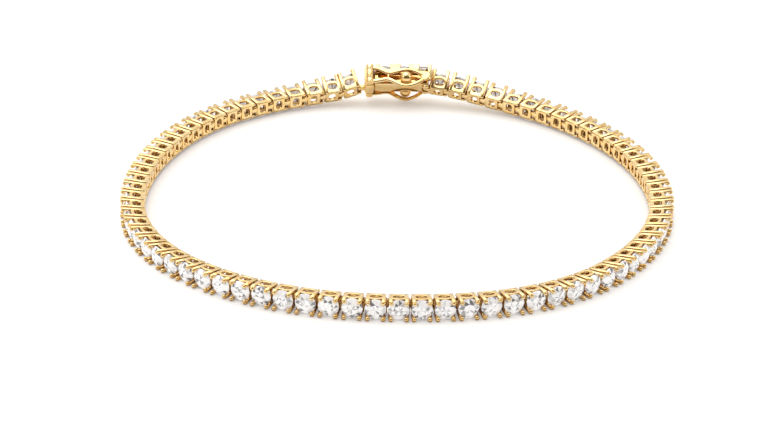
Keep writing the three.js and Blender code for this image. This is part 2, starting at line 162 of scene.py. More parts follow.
class BraceletLinkSizes(bpy.types.PropertyGroup):
    pitch: length("Pitch", "Distance from hinge to hinge", 2.28)
    body: length("Body length", "Length of a setting along the row", 2.06)
    wall: length("Wall", "Thickness of a side wall", 0.25)
    inner_width: length("Inner width", "Width between the side walls at the wrist", 1.2)
    inset: length("Inset", "How far a setting reaches from its hinges towards the wrist", 0.35)
    prong_height: length("Prong height", "Top of the prongs over the hinges", 2.3)
    prong_width: length("Prong width", "Width of a prong along the row", 0.44)
    bead: length("Bead", "Radius of a prong's rounded tip", 0.23)
    gallery: length("Gallery", "Top of the pierced wall over the hinges", 1.15)
    window_height: length("Window height", "Height of the opening in a side wall", 0.88)
    window_length: length("Window length", "Length of the opening in a side wall", 1.16)
    lug_width: length("Lug width", "Width of the lug that joins two settings", 0.8)
    pin: length("Pin", "Radius of a hinge pin", 0.12)
    flare: bpy.props.FloatProperty(
        name="Flare", description="How much a side wall leans out for its height", default=0.11)


class BraceletStoneSizes(bpy.types.PropertyGroup):
    radius: length("Radius", "Radius of a stone at its girdle", 1.1)
    girdle: length("Girdle height", "Girdle of a stone over the hinges", 1.62)
    crown: length("Crown", "Height of the crown", 0.36)
    pavilion: length("Pavilion", "Depth of the pavilion", 0.85)
    table: length("Table", "Radius of the table", 0.6)
    deck_radius: length("Clasp stone radius", "Radius of a stone on the clasp", 1.06)
    deck_girdle: length("Clasp girdle height", "Girdle of a clasp stone over the hinges", 2.22)


class BraceletClaspSizes(bpy.types.PropertyGroup):
    length: length("Length", "Clasp from hinge to hinge", 8.1)
    half_height: length("Half height", "Half of the clasp's height", 0.93)
    depth: length("Depth", "Depth of the box", 1.9)
    wall: length("Wall", "Wall of the box", 0.28)
    stud: length("Stud", "Radius of the ball that a catch snaps over", 0.72)
    stud_neck: length("Stud neck", "Radius of the ball's neck", 0.34)
    band: length("Band", "Thickness of a catch's bands", 0.3)
    barrel: length("Barrel", "Radius of a catch's hinge", 0.45)


class BraceletColours(bpy.types.PropertyGroup):
    gold: colour("Gold", "Polished yellow gold", (0.97, 0.74, 0.38, 1))
    deep_gold: colour("Deep gold", "Gold where it is a little darker", (0.93, 0.64, 0.26, 1))
    # Painted shade: the colour that darkens the gold in narrow gaps
    painted_gap_shade: colour("Painted gap shade", "What gold is darkened by in narrow gaps", (0.2, 0.11, 0.04, 1))
    # Painted reflections of the stones: the bright and the dark facets, which also glow in their colour
    stone: colour("Stone", "Bright facets of a stone", (0.80, 0.80, 0.81, 1))
    stone_shade: colour("Stone shade", "Dark facets of a stone", (0.14, 0.14, 0.15, 1))
    floor: colour("Floor", "Pale floor", (0.74, 0.73, 0.72, 1))


def millimetres(group, name):
    return getattr(group, name) / MM


# The row: a smooth closed curve walked in steps of one pitch
class Row:
    """Places of the hinges, with the route scaled in plan until the links and the clasp close it."""

    def __init__(self, pitch, clasp_length, rest):
        self.pitch = pitch
        self.rest = rest
        small = LEAST_SCALE * (LINK_COUNT * pitch + clasp_length) / ROUTE_LENGTH
        large = small * SCALE_RANGE
        for _ in range(SCALE_HALVINGS):
            middle = (small + large) / 2
            hinges = self.walk(middle)
            if (hinges[0][0] - hinges[LINK_COUNT][0]).length < clasp_length:
                small = middle
            else:
                large = middle
        self.hinges = self.walk((small + large) / 2)

    def point(self, share):
        """Place on a smooth closed curve through the points, at a share of its parameter."""
        count = len(self.points)
        place = count * share
        index = math.floor(place)
        before, start, end, after = (self.points[(index + k) % count] for k in (-1, 0, 1, 2))
        first, span, last = (
            math.sqrt((b - a).length) for a, b in ((before, start), (start, end), (end, after)))
        leave = (start - before) / first - (end - before) / (first + span) + (end - start) / span
        reach = (end - start) / span - (after - start) / (span + last) + (after - end) / last
        leave, reach = leave * span, reach * span
        w = place - index
        return (start + leave * w + (3 * (end - start) - 2 * leave - reach) * w ** 2
                + (2 * (start - end) + leave + reach) * w ** 3)

    def share(self, along):
        """Curve parameter at a share of the length."""
        target = along * self.lengths[-1]
        low, high = 0, ROUTE_STEPS
        while high - low > 1:
            middle = (low + high) // 2
            if self.lengths[middle] <= target:
                low = middle
            else:
                high = middle
        step = self.lengths[low + 1] - self.lengths[low]
        return (low + (target - self.lengths[low]) / step) / ROUTE_STEPS

    def walk(self, scale):
        """Hinges one pitch apart along the route at this scale, each with its share of the length."""
        self.points = [Vector((x * scale, y * scale, self.rest + rise)) for x, y, rise, _ in ROUTE]
        places = [self.point(i / ROUTE_STEPS) for i in range(ROUTE_STEPS + 1)]
        self.lengths = [0.0]
        for a, b in zip(places, places[1:]):
            self.lengths.append(self.lengths[-1] + (b - a).length)
        step = self.pitch / self.lengths[-1]
        hinges = [(places[0], 0.0)]
        for _ in range(LINK_COUNT):
            last, at = hinges[-1]
            near, far = at + 0.5 * step, at + 1.5 * step
            for _ in range(STEP_HALVINGS):
                middle = (near + far) / 2
                if (self.point(self.share(min(middle, 1))) - last).length < self.pitch:
                    near = middle
                else:
                    far = middle
            near = min(near, 1)
            hinges.append((self.point(self.share(near)), near))
        return hinges

    def twist(self, at):
        """Turn of a link about the row, in degrees, at a share of the length."""
        place = self.share(at) * len(ROUTE)
        row = math.floor(place)
        before, after = ROUTE[row % len(ROUTE)][3], ROUTE[(row + 1) % len(ROUTE)][3]
        return before + (after - before) * (place - row)

    def link_frame(self, index):
        (start, at), (end, later) = self.hinges[index], self.hinges[index + 1]
        axes = frame_between(start, end, self.twist((at + later) / 2))
        return axes @ Matrix.Translation((0, -BODY_SHIFT, 0))

    def clasp_frame(self):
        return frame_between(self.hinges[LINK_COUNT][0], self.hinges[0][0], CLASP_TWIST)


def frame_between(start, end, twist):
    """Axes between two hinges: outward, along the row and to its side, turned about the row."""
    along = (end - start).normalized()
    level = along.cross(Vector((0, 0, 1))).normalized()
    side = level.cross(along)
    angle = math.radians(twist)
    outward = level * math.cos(angle) + side * math.sin(angle)
    side = side * math.cos(angle) - level * math.sin(angle)
    axes = Matrix((outward, along, side)).transposed().to_4x4()
    return Matrix.Translation((start + end) / 2) @ axes


def bracelet_row():
    """The row at the sizes of the panel, lying on the outer faces of its lower walls."""
    links = bpy.context.scene.bracelet_links
    clasp = bpy.context.scene.bracelet_clasp
    rest = wall_face(links, millimetres(links, "prong_height")) + millimetres(links, "wall")
    return Row(millimetres(links, "pitch"), millimetres(clasp, "length"), rest)


def wall_face(links, outward):
    """Distance of a side wall's inner face from the middle of the row, at a height over the hinges."""
    return millimetres(links, "inner_width") / 2 + links.flare * (outward + millimetres(links, "inset"))


# Shapes. Edges, faces and points are gathered in a fixed order, so that each run makes the same mesh
def edges_of(verts):
    return list(dict.fromkeys(edge for vert in verts for edge in vert.link_edges))


def faces_of(verts):
    return list(dict.fromkeys(face for vert in verts for face in vert.link_faces))


def with_new_verts(verts, geometry):
    """These vertices and those in an operator's result, each once."""
    return list(dict.fromkeys(verts + [g for g in geometry if isinstance(g, bmesh.types.BMVert)]))


def cuboid(bm, low, high, bevel=0.0, segments=2):
    """A block between two corners, with its edges rounded."""
    low, high = Vector(low), Vector(high)
    verts = bmesh.ops.create_cube(bm, size=1)["verts"]
    bmesh.ops.scale(bm, vec=high - low, verts=verts)
    bmesh.ops.translate(bm, vec=(low + high) / 2, verts=verts)
    if bevel:
        verts = round_edges(bm, verts, bevel, segments)
    return verts


def round_edges(bm, verts, offset, segments=2, least=0.5):
    """Rounds the edges between these vertices that turn by more than the least angle."""
    chosen = set(verts)
    edges = []
    for edge in edges_of(verts):
        if all(v in chosen for v in edge.verts) and edge.calc_face_angle(math.pi) > least:
            edges.append(edge)
    known = set(bm.verts) - chosen
    bmesh.ops.bevel(
        bm, geom=edges, offset=offset, offset_type="OFFSET", segments=segments, profile=0.5,
        affect="EDGES", clamp_overlap=True, material=-1)
    return [v for v in bm.verts if v not in known]


def rod(bm, start, end, radius, segments=12, bevel=0.0):
    """A round bar between two points."""
    start, end = Vector(start), Vector(end)
    turn = (end - start).to_track_quat("Z", "Y").to_matrix().to_4x4()
    place = Matrix.Translation((start + end) / 2) @ turn
    verts = bmesh.ops.create_cone(
        bm, cap_ends=True, segments=segments, radius1=radius, radius2=radius,
        depth=(end - start).length, matrix=place)["verts"]
    if bevel:
        verts = round_edges(bm, verts, bevel, 2, least=1.0)
    return verts


def ball(bm, centre, radius, around=10, up=6, axis=(0, 0, 1)):
    turn = Vector(axis).to_track_quat("Z", "Y").to_matrix().to_4x4()
    return bmesh.ops.create_uvsphere(
        bm, u_segments=around, v_segments=up, radius=radius,
        matrix=Matrix.Translation(centre) @ turn)["verts"]


def pierced_plate(bm, outer, inner, thickness, bevel, sides=24):
    """A plate in X and Y with one opening. outer and inner give the place for a direction round it."""
    loops = []
    for shape in (outer, inner):
        verts = bmesh.ops.create_circle(bm, segments=sides, radius=1)["verts"]
        for vert in verts:
            vert.co.x, vert.co.y = shape(vert.co.x, vert.co.y)
        loops.append(verts)
    verts = [v for loop in loops for v in loop]
    faces = bmesh.ops.bridge_loops(bm, edges=edges_of(verts))["faces"]
    solid = bmesh.ops.solidify(bm, geom=faces, thickness=thickness)["geom"]
    verts = with_new_verts(verts, solid)
    low = min(v.co.z for v in verts)
    bmesh.ops.translate(bm, vec=(0, 0, -low), verts=verts)
    return round_edges(bm, verts, bevel)


def on_box(x, y, centre, half):
    """Where a direction meets a rectangle round a centre."""
    reach = min(half[0] / max(abs(x), 1e-6), half[1] / max(abs(y), 1e-6))
    return centre[0] + x * reach, centre[1] + y * reach


def on_oval(x, y, centre, half, squareness=1.0):
    """Where a direction meets an oval round a centre. A squareness under one fills its corners."""
    return (centre[0] + half[0] * math.copysign(abs(x) ** squareness, x),
            centre[1] + half[1] * math.copysign(abs(y) ** squareness, y))


def smooth_rows(rows, steps=5):
    """More rows between these, on a smooth curve through them."""
    filled = []
    for index in range(len(rows) - 1):
        before, start, end, after = (rows[min(max(index + k, 0), len(rows) - 1)] for k in (-1, 0, 1, 2))
        for step in range(steps):
            w = step / steps
            filled.append(tuple(
                b + 0.5 * w * (c - a + w * (2 * a - 5 * b + 4 * c - d + w * (3 * (b - c) + d - a)))
                for a, b, c, d in zip(before, start, end, after)))
    return filled + [rows[-1]]


def band(bm, rows, thickness, bevel, height=0.05):
    """A strip through rows of place, middle, half width and rise, crowned a little and with round edges."""
    rows = smooth_rows(rows)
    steps = len(rows) - 1
    strip = bmesh.ops.create_grid(bm, x_segments=2, y_segments=steps, size=0.5)["verts"]
    for vert in strip:
        along, middle, half, rise = rows[round((0.5 - vert.co.y) * steps)]
        crown = height * (1 - abs(2 * vert.co.x))
        vert.co = (middle + 2 * half * vert.co.x, along, rise + crown)
    solid = bmesh.ops.solidify(bm, geom=faces_of(strip), thickness=thickness)["geom"]
    return round_edges(bm, with_new_verts(strip, solid), bevel, 3, least=1.0)


def tidy_template(bm):
    """Merges doubles, points the faces outward and keeps the shape as a mesh for copies."""
    bmesh.ops.remove_doubles(bm, verts=bm.verts, dist=0.0005)
    bmesh.ops.recalc_face_normals(bm, faces=bm.faces)
    template = bpy.data.meshes.new("template")
    bm.to_mesh(template)
    bm.free()
    return template


def copies(template, places):
    """One bmesh with a copy of the template at each place."""
    bm = bmesh.new()
    for place in places:
        known = len(bm.verts)
        bm.from_mesh(template)
        bm.verts.ensure_lookup_table()
        bmesh.ops.transform(bm, matrix=place, verts=bm.verts[known:])
    bpy.data.meshes.remove(template)
    return bm


def finish_piece(name, bm, material, body, nodes, smooth=True):
    """Turns a bmesh in millimetres into a piece in metres that rides on its body."""
    bmesh.ops.scale(bm, vec=(MM, MM, MM), verts=bm.verts)
    mesh = bpy.data.meshes.new(name)
    bm.to_mesh(mesh)
    bm.free()
    mesh.materials.append(material)
    piece = bpy.data.objects.new(name, mesh)
    bpy.context.scene.collection.objects.link(piece)
    if smooth:
        mesh.shade_smooth()
        mesh.set_sharp_from_angle(angle=math.radians(50))
    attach(piece, body)
    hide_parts(*nodes)
    return piece


# Materials
def node_material(name):
    material = bpy.data.materials.new(name)
    material.use_nodes = True
    tree = material.node_tree
    return material, tree, tree.nodes["Principled BSDF"]


def noise(tree, scale, detail=3.0):
    coordinates = tree.nodes.new("ShaderNodeTexCoord")
    texture = tree.nodes.new("ShaderNodeTexNoise")
    texture.inputs["Scale"].default_value = scale
    texture.inputs["Detail"].default_value = detail
    tree.links.new(coordinates.outputs["Object"], texture.inputs["Vector"])
    return texture.outputs["Fac"]


def ramp(tree, value, stops):
    node = tree.nodes.new("ShaderNodeValToRGB")
    tree.links.new(value, node.inputs["Fac"])
    elements = node.color_ramp.elements
    while len(elements) < len(stops):
        elements.new(0.5)
    for element, (position, shade) in zip(elements, stops):
        element.position = position
        element.color = shade
    return node.outputs["Color"]


def grey(value):
    return (value, value, value, 1)


def polished_gold():
    """Cast and polished gold: slight change of tone, uneven gloss, and deep brown painted shade where it is
    hollow.
    """
    material = bpy.data.materials.get("polished_gold")
    if material:
        return material
    colours = bpy.context.scene.bracelet_colours
    material, tree, shader = node_material("polished_gold")
    shader.inputs["Metallic"].default_value = 1.0
    tone = ramp(tree, noise(tree, 900), [(0.35, colours.deep_gold), (0.65, colours.gold)])
    # Painted shade: darker between pieces that stand closer than this distance
    hollow = tree.nodes.new("ShaderNodeAmbientOcclusion")
    hollow.samples = 8
    hollow.inputs["Distance"].default_value = 0.85 * MM
    shade = ramp(tree, hollow.outputs["AO"], [
        (0.1, colours.painted_gap_shade), (0.45, (0.72, 0.59, 0.43, 1)), (0.82, grey(1))])
    mix = tree.nodes.new("ShaderNodeMix")
    mix.data_type = "RGBA"
    mix.blend_type = "MULTIPLY"
    mix.inputs[0].default_value = 1.0
    tree.links.new(tone, mix.inputs[6])
    tree.links.new(shade, mix.inputs[7])
    tree.links.new(mix.outputs[2], shader.inputs["Base Color"])
    gloss = ramp(tree, noise(tree, 2600), [(0.35, grey(0.10)), (0.7, grey(0.20))])
    tree.links.new(gloss, shader.inputs["Roughness"])
    bump = tree.nodes.new("ShaderNodeBump")
    bump.inputs["Strength"].default_value = 0.03
    bump.inputs["Distance"].default_value = 0.00004
    tree.links.new(noise(tree, 1800, 2.0), bump.inputs["Height"])
    tree.links.new(bump.outputs["Normal"], shader.inputs["Normal"])
    return material


def cut_stone():
    """Bright colourless stone: each facet has a painted reflection, a light or dark tone of its own, and
    glows in that tone.
    """
    material = bpy.data.materials.get("cut_stone")
    if material:
        return material
    colours = bpy.context.scene.bracelet_colours
    material, tree, shader = node_material("cut_stone")
    facet = tree.nodes.new("ShaderNodeAttribute")
    facet.attribute_name = "facet"
    # Painted reflections: each facet is lit or shaded by a tone of its own
    shade = ramp(tree, facet.outputs["Fac"], [
        (0.12, colours.stone_shade), (0.22, grey(0.45)), (0.42, grey(0.68)), (1.0, colours.stone)])
    tree.links.new(shade, shader.inputs["Base Color"])
    # Painted glow: the stone gives off light in the tone of each facet, though it is no lamp
    tree.links.new(shade, shader.inputs["Emission Color"])
    shader.inputs["Emission Strength"].default_value = 0.5
    shader.inputs["Roughness"].default_value = 0.03
    shader.inputs["IOR"].default_value = 2.2
    shader.inputs["Coat Weight"].default_value = 0.6
    shader.inputs["Coat Roughness"].default_value = 0.02
    return material


def brilliant(bm, radius, girdle, along=0.0):
    """A round brilliant: table, star, kite and girdle facets above, and two rows of facets below."""
    stones = bpy.context.scene.bracelet_stones
    scale = radius / millimetres(stones, "radius")
    crown = millimetres(stones, "crown") * scale
    pavilion = millimetres(stones, "pavilion") * scale
    table = millimetres(stones, "table") * scale
    turn = math.pi / 8
    star = (table + radius) * 0.52
    star_height = crown * (radius - star * math.cos(turn)) / (radius - table)
    lower = radius * 0.36
    lower_height = -pavilion * (1 - lower * math.cos(turn) / radius)
    rings = [
        (8, table, crown, 0.0), (8, star, star_height, turn), (16, radius, 0.02, 0.0),
        (16, radius, -0.03, 0.0), (8, lower, lower_height, turn), (8, 0.02, -pavilion, 0.0),
    ]
    verts = []
    for sides, reach, height, angle in rings:
        place = Matrix.Translation((girdle + height, along, 0)) @ Matrix.Rotation(math.pi / 2, 4, "Y")
        verts += bmesh.ops.create_circle(
            bm, segments=sides, radius=reach, matrix=place @ Matrix.Rotation(angle, 4, "Z"))["verts"]
    bmesh.ops.convex_hull(bm, input=verts)
    loose = [edge for edge in edges_of(verts) if not edge.link_faces]
    bmesh.ops.delete(bm, geom=loose, context="EDGES")
    bmesh.ops.dissolve_limit(bm, angle_limit=math.radians(1.5), verts=verts, edges=edges_of(verts))
    faces = [max(faces_of(verts), key=lambda f: f.calc_center_median().x)]
    for _ in range(2):
        faces = bmesh.ops.poke(bm, faces=faces)["faces"]


def paint_facet_reflections(mesh):
    """Gives each facet a painted reflection, a light or dark tone from its place, on a face attribute."""
    reflection_tones = mesh.attributes.new("facet", "FLOAT", "FACE")
    for index, polygon in enumerate(mesh.polygons):
        x, y, z = polygon.center / MM
        spread = 43.76 * math.sin(12.99 * x + 78.23 * y + 37.72 * z)
        reflection_tones.data[index].value = spread - math.floor(spread)


# Links
def pierced_wall(bm, links):
    """A side wall: a plate with an oval window under a curved gallery rail, leaning out."""
    half = millimetres(links, "body") / 2
    low = -millimetres(links, "inset")
    top = millimetres(links, "gallery")
    middle = (low + top) / 2
    crest, crest_half = 0.17, 0.8
    window_middle = 0.52
    window = (millimetres(links, "window_height") / 2, millimetres(links, "window_length") / 2)

    def outer(x, y):
        px, py = on_box(x, y, (middle, 0), ((top - low) / 2, half))
        if px > middle:
            px += crest * max(0, 1 - (py / crest_half) ** 2) * (px - middle) / (top - middle)
        return px, py

    def inner(x, y):
        return on_oval(x, y, (window_middle, 0), window, 0.75)

    verts = pierced_plate(bm, outer, inner, millimetres(links, "wall"), 0.06)
    lean = Matrix.Identity(4)
    lean[2][0] = links.flare
    bmesh.ops.transform(bm, matrix=Matrix.Translation((0, 0, wall_face(links, 0))) @ lean, verts=verts)
    return verts


def wrist_frame(bm, links):
    """The wrist side of a setting: two cross bars and the rails between them, round one opening."""
    half_width = millimetres(links, "inner_width") / 2 + millimetres(links, "wall") - 0.03
    front, rear = millimetres(links, "body") / 2 - 0.06, -0.55
    outer_middle, outer_half = (front + rear) / 2, (front - rear) / 2
    hole_front, hole_rear = 0.62, -0.22
    hole_middle, hole_half = (hole_front + hole_rear) / 2, (hole_front - hole_rear) / 2
    verts = pierced_plate(
        bm,
        lambda x, y: on_box(x, y, (outer_middle, 0), (outer_half, half_width)),
        lambda x, y: on_oval(x, y, (hole_middle, 0), (hole_half, 0.46), 0.7),
        0.34, 0.05)
    inset = millimetres(links, "inset")
    turn = Matrix(((0, 0, 1, -inset), (1, 0, 0, 0), (0, 1, 0, 0), (0, 0, 0, 1)))
    bmesh.ops.transform(bm, matrix=turn, verts=verts)
    return verts


def prong(bm, links, direction, side):
    """A corner prong: a bar up the wall's end, with a rounded tip that grips the stone."""
    half = millimetres(links, "body") / 2
    width = millimetres(links, "prong_width")
    wall = millimetres(links, "wall")
    low = -millimetres(links, "inset")
    bead = millimetres(links, "bead")
    top = millimetres(links, "prong_height") - bead / 2
    proud = 0.03
    verts = bmesh.ops.create_cube(bm, size=1)["verts"]
    for vert in verts:
        height = top if vert.co.x > 0 else low
        face = wall_face(links, height)
        vert.co.y = direction * (half if vert.co.y * direction > 0 else half - width)
        vert.co.z = side * (face + (wall + proud if vert.co.z * side > 0 else -0.08))
        vert.co.x = height
    round_edges(bm, verts, 0.09, 1)
    centre = millimetres(links, "prong_height") - bead
    ball(bm, (centre, direction * (half - bead - 0.03), side * wall_face(links, centre)), bead, 10, 6,
         (1, 0, 0))


def end_gallery(bm, links, direction):
    """The bar under the stone at one end of a setting, and at its front a plate that fills the joint."""
    half = millimetres(links, "body") / 2
    reach = wall_face(links, 1.0) + 0.1
    faces = sorted((direction * half * 0.97, direction * (half - 0.24)))
    cuboid(bm, (0.86, faces[0], -reach), (1.26, faces[1], reach), 0.06, 1)
    if direction > 0:
        cuboid(bm, (-0.28, half - 0.06, -0.8), (0.75, half + 0.13, 0.45), 0.04, 1)


def lug(bm, links):
    """The lug that reaches into the next setting, narrower towards its end, with the pin through it."""
    half = millimetres(links, "lug_width") / 2
    start = millimetres(links, "body") / 2 - 0.25
    end = millimetres(links, "pitch") - 0.45
    verts = cuboid(bm, (-0.29, start, -half), (0.05, end, half))
    for vert in verts:
        if vert.co.y > (start + end) / 2:
            vert.co.z *= 0.72
    round_edges(bm, verts, 0.06, 1)
    cuboid(bm, (0.16, start, -half), (0.34, end - 0.3, half), 0.04, 1)
    pin_place = BODY_SHIFT + millimetres(links, "pitch") / 2
    reach = wall_face(links, 0) + 0.05
    rod(bm, (0, pin_place, -reach), (0, pin_place, reach), millimetres(links, "pin"), 8)


def setting_template(links):
    bm = bmesh.new()
    pierced_wall(bm, links)
    known = list(bm.verts)
    other = bmesh.ops.duplicate(bm, geom=known + list(bm.edges) + list(bm.faces))["geom"]
    bmesh.ops.scale(bm, vec=(1, 1, -1), verts=[g for g in other if isinstance(g, bmesh.types.BMVert)])
    wrist_frame(bm, links)
    for direction in (-1, 1):
        for side in (-1, 1):
            prong(bm, links, direction, side)
        end_gallery(bm, links, direction)
    lug(bm, links)
    return tidy_template(bm)


class BRACELET_OT_settings(bpy.types.Operator):
    """Makes both halves of the row of box settings"""

    bl_idname = "bracelet.settings"
    bl_label = "Row of settings"

    def execute(self, context):
        links = context.scene.bracelet_links
        row = bracelet_row()
        for name, start, end in HALVES:
            bm = copies(setting_template(links), [row.link_frame(i) for i in range(start, end)])
            finish_piece(f"settings_{name}", bm, polished_gold(), "bracelet", [f"chain_{name}"])
        return {"FINISHED"}


class BRACELET_OT_stones(bpy.types.Operator):
    """Makes the round stones of both halves of the row"""

    bl_idname = "bracelet.stones"
    bl_label = "Stones of the row"

    def execute(self, context):
        stones = context.scene.bracelet_stones
        row = bracelet_row()
        for name, start, end in HALVES:
            bm = bmesh.new()
            brilliant(bm, millimetres(stones, "radius"), millimetres(stones, "girdle"))
            bm = copies(tidy_template(bm), [row.link_frame(i) for i in range(start, end)])
            piece = finish_piece(
                f"stones_{name}", bm, cut_stone(), "bracelet", [f"chain_{name}"], smooth=False)
            paint_facet_reflections(piece.data)
        return {"FINISHED"}


# Clasp
def box_body(bm, clasp):
    """The box: a block with a slot for the tongue, sunk sides, and a rear end that narrows to two ears."""
    half = millimetres(clasp, "half_height")
    depth = millimetres(clasp, "depth")
    wall = millimetres(clasp, "wall")
    rounding = 0.1
    slot_depth = 4.0
    side_area = 5
    verts = cuboid(bm, (0, -3.7, -half), (depth, BOX_MOUTH, half), rounding, 2)
    cuboid(bm, (0.42, -4.15, -half), (depth - 0.01, -3.6, half - 0.01), 0.15, 2)
    for side in (-1, 1):
        faces = sorted((side * 0.46, side * (half - 0.01)))
        cuboid(bm, (0.01, BOX_REAR, faces[0]), (depth - 0.02, -3.4, faces[1]), 0.15, 2)
    faces = faces_of(verts)
    mouth = max(faces, key=lambda f: f.normal.y * 100 + f.calc_area())
    large = [f for f in faces if f.calc_area() > side_area]
    sides = sorted(large, key=lambda f: abs(f.normal.z))[-2:]
    bmesh.ops.inset_region(bm, faces=sides, thickness=0.3, depth=0, use_even_offset=True)
    bmesh.ops.inset_region(bm, faces=sides, thickness=0.02, depth=-0.25, use_even_offset=True)
    bmesh.ops.inset_region(bm, faces=[mouth], thickness=wall - rounding, depth=0, use_even_offset=True)
    hollow = bmesh.ops.extrude_face_region(bm, geom=[mouth])["geom"]
    inner = [g for g in hollow if isinstance(g, bmesh.types.BMVert)]
    bmesh.ops.translate(bm, vec=(0, -slot_depth, 0), verts=inner)
    if mouth.is_valid:
        bmesh.ops.delete(bm, geom=[mouth], context="FACES_ONLY")


def deck(bm, clasp, stones):
    """The gallery of the clasp: a ledge, a collet under each stone and square prongs between them."""
    depth = millimetres(clasp, "depth")
    half = millimetres(clasp, "half_height")
    radius = millimetres(stones, "deck_radius")
    cuboid(bm, (depth - 0.1, -3.9, 0.12 - half), (depth + 0.12, 2.1, half - 0.12), 0.06)
    for place in DECK_STONES:
        turn = Matrix.Translation((depth + 0.2, place, 0)) @ Matrix.Rotation(math.pi / 2, 4, "Y")
        verts = bmesh.ops.create_cone(
            bm, cap_ends=False, segments=24, radius1=radius - 0.3, radius2=radius - 0.02, depth=0.5,
            matrix=turn)["verts"]
        bmesh.ops.solidify(bm, geom=faces_of(verts), thickness=0.1)
    ends = (DECK_STONES[0] + radius - 0.25, DECK_STONES[-1] - radius + 0.25)
    outer = half + 0.1
    for place, along in [(ends[0], 0.5), (ends[1], 0.5)] + [(middle, 1.3) for middle in DECK_PRONGS]:
        for side in (-1, 1):
            faces = sorted((side * outer, side * (outer - 0.36)))
            cuboid(bm, (1.5, place - along / 2, faces[0]), (2.8, place + along / 2, faces[1]), 0.15, 3)


def stud(bm, clasp, side):
    """The ball on its neck that a catch snaps over."""
    foot = side * (millimetres(clasp, "half_height") - 0.26)
    neck = millimetres(clasp, "stud_neck")
    rod(bm, (STUD_OUTWARD, STUD_PLACE, foot), (STUD_OUTWARD, STUD_PLACE, side * 1.3), neck, 16)
    ball(bm, (STUD_OUTWARD, STUD_PLACE, side * STUD_REACH), millimetres(clasp, "stud"), 24, 14)


class BRACELET_OT_clasp_box(bpy.types.Operator):
    """Makes the box of the clasp with its deck, its ball studs and its stones"""

    bl_idname = "bracelet.clasp_box"
    bl_label = "Clasp box"

    def execute(self, context):
        clasp = context.scene.bracelet_clasp
        stones = context.scene.bracelet_stones
        pin = millimetres(context.scene.bracelet_links, "pin")
        place = bracelet_row().clasp_frame()
        bm = bmesh.new()
        box_body(bm, clasp)
        deck(bm, clasp, stones)
        for side in (-1, 1):
            stud(bm, clasp, side)
            faces = sorted((side * 0.42, side * 0.85))
            cuboid(bm, (-0.35, -4.18, faces[0]), (0.6, -3.45, faces[1]), 0.1)
        rod(bm, (0, LAST_PIN, -0.64), (0, LAST_PIN, 0.64), pin, 10)
        bm = copies(tidy_template(bm), [place])
        finish_piece("clasp_box_body", bm, polished_gold(), "bracelet", ["clasp_box"])
        bm = bmesh.new()
        for along in DECK_STONES:
            brilliant(bm, millimetres(stones, "deck_radius"), millimetres(stones, "deck_girdle"), along)
        bm = copies(tidy_template(bm), [place])
        piece = finish_piece(
            "clasp_stones", bm, cut_stone(), "bracelet", ["clasp_box"], smooth=False)
        paint_facet_reflections(piece.data)
        return {"FINISHED"}


class BRACELET_OT_clasp_tongue(bpy.types.Operator):
    """Makes the end block of the clasp with its folded tongue and the knuckles of both catches"""

    bl_idname = "bracelet.clasp_tongue"
    bl_label = "Clasp tongue"

    def execute(self, context):
        clasp = context.scene.bracelet_clasp
        links = context.scene.bracelet_links
        half = millimetres(clasp, "half_height")
        barrel = millimetres(clasp, "barrel")
        bm = bmesh.new()
        cuboid(bm, (-0.3, 2.27, -half), (2.4, 3.4, half), 0.18, 3)
        cuboid(bm, (0.38, 1.85, -0.57), (1.52, 2.4, 0.57), 0.05)
        cuboid(bm, (0.4, -1.55, -0.53), (1.5, 2.4, -0.27), 0.06)
        leaf = cuboid(bm, (0.4, -1.55, -0.26), (1.5, 1.7, 0), 0.06)
        lift = Matrix.Translation((0, -1.5, 0)) @ Matrix.Rotation(math.radians(8.5), 4, "X")
        bmesh.ops.transform(bm, matrix=lift @ Matrix.Translation((0, 1.5, 0)), verts=leaf)
        for side in (-1, 1):
            foot = sorted((side * 0.87, side * 1.4))
            cuboid(bm, (0.5, 2.4, foot[0]), (1.5, 3.2, foot[1]), 0.05)
            reach = side * HINGE_REACH
            rod(bm, (0.46, CATCH_HINGE, reach), (1.54, CATCH_HINGE, reach), barrel, 24, 0.02)
            rod(bm, (-0.1, CATCH_HINGE, reach), (2.1, CATCH_HINGE, reach), 0.15, 12)
        arm_half = millimetres(links, "lug_width") / 2
        cuboid(bm, (-0.22, 3.3, -arm_half), (0.2, 3.9, arm_half), 0.05)
        rod(bm, (0, 4.05, -arm_half), (0, 4.05, arm_half), 0.27, 14, 0.04)
        bm = copies(tidy_template(bm), [bracelet_row().clasp_frame()])
        finish_piece("clasp_tongue_body", bm, polished_gold(), "bracelet", ["clasp_tongue"])
        return {"FINISHED"}


def catch_template(clasp, wide_band_near):
    """A figure-eight of two flat bands from the hinge round the ball, ending in a turned-up lip."""
    thickness = millimetres(clasp, "band")
    barrel = millimetres(clasp, "barrel")
    bm = bmesh.new()
    rounding = 0.09
    widths = (NEAR_BAND, FAR_BAND) if wide_band_near else (FAR_BAND, NEAR_BAND)
    for rows, width_rows in zip((FAR_BAND, NEAR_BAND), widths):
        rows = [(along, middle, row[2], rise) for (along, middle, _, rise), row in zip(rows, width_rows)]
        band(bm, rows, thickness, rounding)
    band(bm, LIP, thickness, rounding)
    # Bar across the waist, under both bands
    along, far, _, rise = FAR_BAND[2]
    near = NEAR_BAND[2][1]
    rod(bm, (near, along, rise - 0.14), (far, along, rise - 0.14), thickness * 0.4, 12)
    for low, high in ((-0.24, 0.42), (1.58, 2.24)):
        rod(bm, (low, CATCH_HINGE, HINGE_REACH), (high, CATCH_HINGE, HINGE_REACH), barrel, 24, 0.03)
    return tidy_template(bm)


